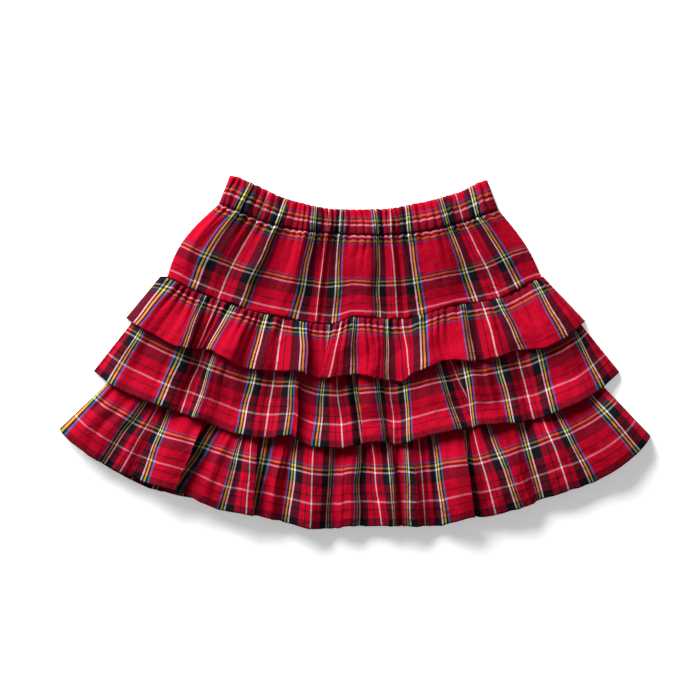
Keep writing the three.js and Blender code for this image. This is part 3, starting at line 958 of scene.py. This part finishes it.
@dataclass
class Stitching:
    """A row of thread dashes along a sewn hem."""

    pitch: float = 3.3
    length: float = 2.3
    thickness: float = 0.36
    seed: int = 7

    def _tree(self) -> Tree:
        """The node tree that lays the dashes along a path."""
        tree = bpy.data.node_groups.new("stitches", "GeometryNodeTree")
        for name, kind in (("Geometry", "Geometry"), ("Pitch", "Float"), ("Length", "Float"),
                           ("Thickness", "Float"), ("Seed", "Int"), ("Thread", "Material")):
            tree.interface.new_socket(name=name, in_out="INPUT", socket_type="NodeSocket" + kind)
        tree.interface.new_socket(name="Geometry", in_out="OUTPUT", socket_type="NodeSocketGeometry")
        given = tree.nodes.new("NodeGroupInput").outputs
        curve = node(tree, "GeometryNodeMeshToCurve", {}, {"Mesh": given["Geometry"]})
        even = node(tree, "GeometryNodeResampleCurve", {"mode": "LENGTH"},
                    {"Curve": curve.outputs[0], "Length": given["Pitch"]})
        up = node(tree, "GeometryNodeInputNamedAttribute", {"data_type": "FLOAT_VECTOR"}, {"Name": "up"})
        tangent = node(tree, "GeometryNodeInputTangent", {}, {})
        along = node(tree, "FunctionNodeAlignEulerToVector", {"axis": "X"},
                     {"Vector": tangent.outputs[0]})
        upright = node(tree, "FunctionNodeAlignEulerToVector", {"axis": "Z", "pivot_axis": "X"},
                       {"Rotation": along.outputs[0], "Vector": up.outputs["Attribute"]})
        dash = node(tree, "GeometryNodeMeshUVSphere", {}, {"Segments": 6, "Rings": 4, "Radius": 0.5})
        chance = node(tree, "FunctionNodeRandomValue", {},
                      {2: 0.85, 3: 1.12, "Seed": given["Seed"]})
        length = Value(tree, given["Length"]) * Value(tree, chance.outputs[1])
        size = node(tree, "ShaderNodeCombineXYZ", {},
                    {"X": length, "Y": given["Thickness"], "Z": given["Thickness"]})
        laid = node(tree, "GeometryNodeInstanceOnPoints", {},
                    {"Points": even.outputs[0], "Instance": dash.outputs[0],
                     "Rotation": upright.outputs[0], "Scale": size.outputs[0]})
        real = node(tree, "GeometryNodeRealizeInstances", {}, {"Geometry": laid.outputs[0]})
        dyed = node(tree, "GeometryNodeSetMaterial", {},
                    {"Geometry": real.outputs[0], "Material": given["Thread"]})
        node(tree, "NodeGroupOutput", {}, {"Geometry": dyed.outputs[0]})
        return tree

    def sew(self, sheet: Sheet, thread: Material) -> Object:
        """Lays the stitches of one sheet's hem.

        Args:
            sheet: The sheet, already built.
            thread: The thread's material.

        Returns:
            One plain mesh with all the dashes.
        """
        points, up = sheet.stitched_path()
        mesh = bpy.data.meshes.new("path")
        mesh.from_pydata((points * MM).tolist(), [(i, i + 1) for i in range(len(points) - 1)], [])
        upward = mesh.attributes.new("up", "FLOAT_VECTOR", "POINT")
        upward.data.foreach_set("vector", up.astype(np.float32).ravel())
        path = new_object("path", mesh)
        tree = self._tree()
        modifier = path.modifiers.new("stitches", "NODES")
        modifier.node_group = tree
        given = {"Pitch": self.pitch * MM, "Length": self.length * MM, "Thickness": self.thickness * MM,
                 "Seed": self.seed, "Thread": thread}
        for item in tree.interface.items_tree:
            if item.name in given:
                modifier[item.identifier] = given[item.name]
        seen = path.evaluated_get(bpy.context.evaluated_depsgraph_get())
        dashes = bpy.data.meshes.new_from_object(seen)
        path.modifiers.remove(modifier)
        bpy.data.objects.remove(path)
        made = new_object(f"{sheet.node}_stitches", dashes)
        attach(made, "root")
        LOG.info("%s: %d faces", made.name, len(dashes.polygons))
        return made


# ---- light and camera ----


@dataclass
class Studio:
    """A pale floor that glows a little as painted light, soft light from the upper left, and a camera
    straight above.
    """

    distance: float = 2.0
    field: float = 0.63  # width of what the camera sees at the floor
    centre: tuple[float, float] = (-0.0045, 0.0018)
    floor_reach: float = 3.0  # half the floor's width
    # painted light: the floor glows evenly, which lightens the shadows cast on it and lights the cloth's
    # undersides a little
    painted_floor_light: float = 0.34
    sky: float = 0.18

    def build(self) -> None:
        """Makes the floor, lights, world and camera."""
        mesh = bpy.data.meshes.new("floor")
        far = self.floor_reach
        mesh.from_pydata([(-far, -far, 0), (far, -far, 0), (far, far, 0), (-far, far, 0)], [],
                         [(0, 1, 2, 3)])
        material, tree = new_material("pale_floor")
        surface = node(tree, "ShaderNodeBsdfPrincipled", {},
                       {"Base Color": (0.9, 0.9, 0.9, 1), "Roughness": 0.9, "Specular IOR Level": 0.1,
                        "Emission Color": (1, 1, 1, 1), "Emission Strength": self.painted_floor_light})
        node(tree, "ShaderNodeOutputMaterial", {}, {"Surface": surface.outputs[0]})
        mesh.materials.append(material)
        new_object("floor", mesh)
        self._light("key", (-2.55, 4.05, 2.05), 3.4, 840.0)
        self._light("fill", (0.9, -0.6, 1.8), 1.6, 2.0)
        world = bpy.data.worlds.new("studio")
        world.use_nodes = True
        sky = world.node_tree.nodes["Background"]
        sky.inputs["Color"].default_value = (1, 1, 1, 1)
        sky.inputs["Strength"].default_value = self.sky
        bpy.context.scene.world = world
        data = bpy.data.cameras.new("camera")
        data.lens = data.sensor_width * self.distance / self.field
        camera = new_object("camera", data)
        camera.location = (*self.centre, self.distance)
        bpy.context.scene.camera = camera
        bpy.context.scene.view_settings.view_transform = "Standard"

    def _light(self, name: str, place: tuple[float, float, float], size: float, power: float) -> None:
        """Adds a square area light that faces the skirt."""
        data = bpy.data.lights.new(name, "AREA")
        data.size = size
        data.energy = power
        lamp = new_object(name, data)
        lamp.location = place
        lamp.rotation_euler = (-lamp.location).to_track_quat("-Z", "Y").to_euler()


def main() -> None:
    """Builds the skirt from the floor up, then the studio."""
    logging.basicConfig(level=logging.INFO, format="%(name)s %(message)s")
    cotton = CheckCotton().make()
    thread = Thread().make()
    pile = Pile()
    for together in back_pieces() + front_pieces():
        for piece in together:
            piece.build(pile, cotton)
            if piece.sewn_at:
                Stitching(seed=piece.seed).sew(piece, thread)
        for piece in together:
            pile.lay(piece.points)
    Studio().build()


if __name__ == "__main__":
    main()
